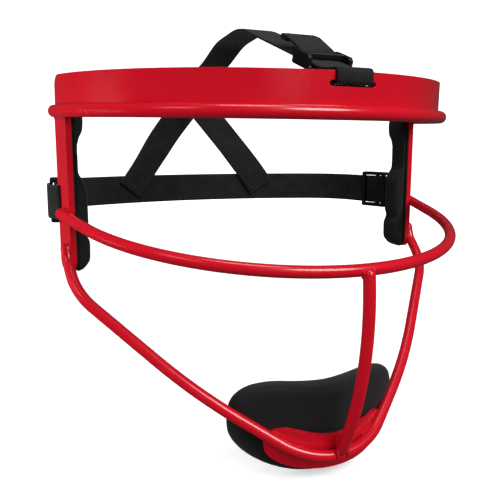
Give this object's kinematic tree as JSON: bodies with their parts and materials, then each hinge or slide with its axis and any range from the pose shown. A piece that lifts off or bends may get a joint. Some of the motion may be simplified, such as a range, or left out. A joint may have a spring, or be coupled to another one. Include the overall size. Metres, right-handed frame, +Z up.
{
  "type": "fielder's face mask",
  "caption": "Red wire cage face mask: curved forehead band, side plates, cheek bar, jaw bar and centre bar, padded chin piece, black elastic rear strap, crown strap and sliding adjusters",
  "frame": {"origin": "the middle of the head at brow height: the centre of the brow rail's curve, in the plane of the rail", "axes": "+X to the wearer's left, -Y the way the wearer faces, +Z up"},
  "size_m": [0.1866, 0.1826, 0.1831],
  "materials": {
    "cage": "gloss",
    "pad": "matte",
    "hook_tape": "matte",
    "webbing": "matte",
    "adjuster": "satin"
  },
  "bodies": {
    "frame": {"brow_rail": "cage", "forehead_plate": "cage", "left_side_plate": "cage", "right_side_plate": "cage", "cheek_bar": "cage", "jaw_bar": "cage", "centre_bar": "cage", "chin_plate": "cage", "forehead_hook_strip": "hook_tape", "forehead_pad": "pad", "left_temple_hook_strip": "hook_tape", "right_temple_hook_strip": "hook_tape", "left_temple_pad": "pad", "right_temple_pad": "pad", "chin_hook_patch": "hook_tape", "chin_pad": "pad", "rear_strap": "webbing", "left_diagonal_strap": "webbing", "right_diagonal_strap": "webbing", "top_strap": "webbing"},
    "left_adjuster": {"left_side_adjuster": "adjuster"},
    "right_adjuster": {"right_side_adjuster": "adjuster"},
    "top_adjuster": {"top_adjuster": "adjuster", "top_strap_tail": "webbing"}
  },
  "joints": [
    {"name": "left_adjuster_slide", "type": "slide", "parent": "frame", "child": "left_adjuster", "axis": [-0.1736, 0.9845, -0.0258], "range_m": [0, 0.01]},
    {"name": "right_adjuster_slide", "type": "slide", "parent": "frame", "child": "right_adjuster", "axis": [0.1736, 0.9845, -0.0258], "range_m": [0, 0.01]},
    {"name": "top_adjuster_slide", "type": "slide", "parent": "frame", "child": "top_adjuster", "axis": [0, -0.9521, -0.3057], "range_m": [-0.015, 0.008]}
  ]
}
